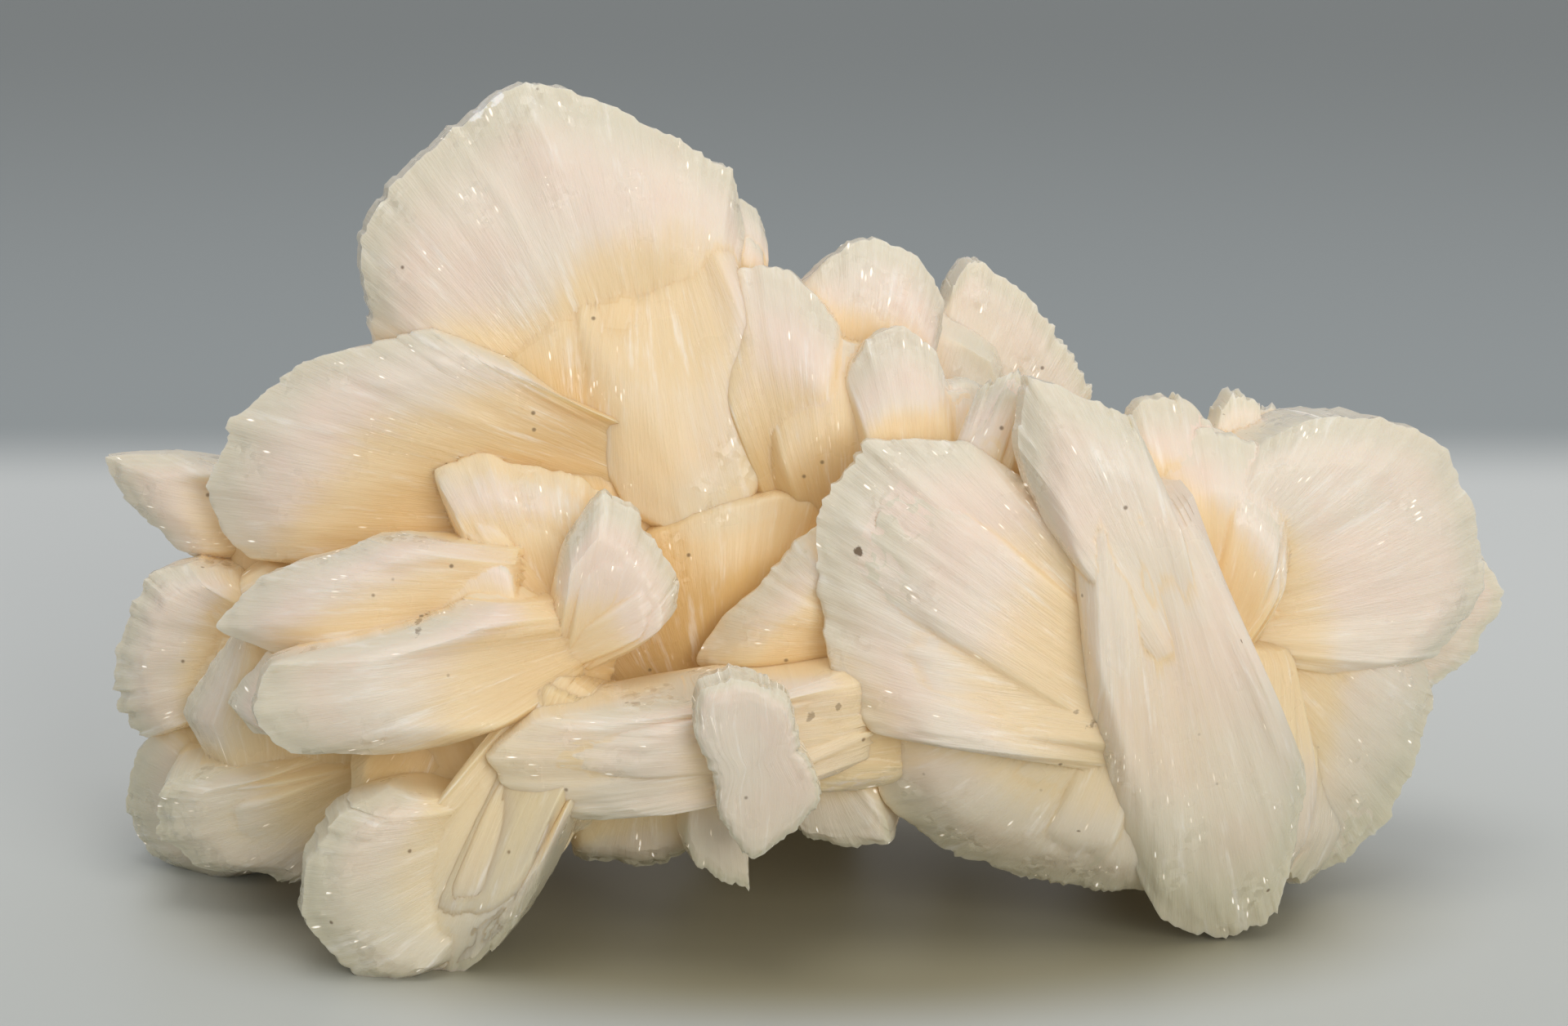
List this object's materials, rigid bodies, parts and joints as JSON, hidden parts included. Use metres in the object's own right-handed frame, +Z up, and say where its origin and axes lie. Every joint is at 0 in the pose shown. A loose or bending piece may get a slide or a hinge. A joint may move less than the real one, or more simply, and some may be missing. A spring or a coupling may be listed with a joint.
{
  "type": "stilbite mineral specimen",
  "caption": "Free-standing cluster of peach to cream stilbite: fan and sheaf shaped tabular crystals intergrown on a common core, resting on its lower crystal tips.",
  "frame": {"origin": "middle of the specimen's footprint, on the surface that it stands on", "axes": "+X along the specimen's length to the right as seen from the front, +Y to the back, +Z up"},
  "size_m": [0.1218, 0.0584, 0.069],
  "materials": {
    "stilbite": "translucent, pearly to glassy crystal faces"
  },
  "bodies": {
    "root": {"stilbite_cluster": "stilbite"}
  },
  "joints": []
}
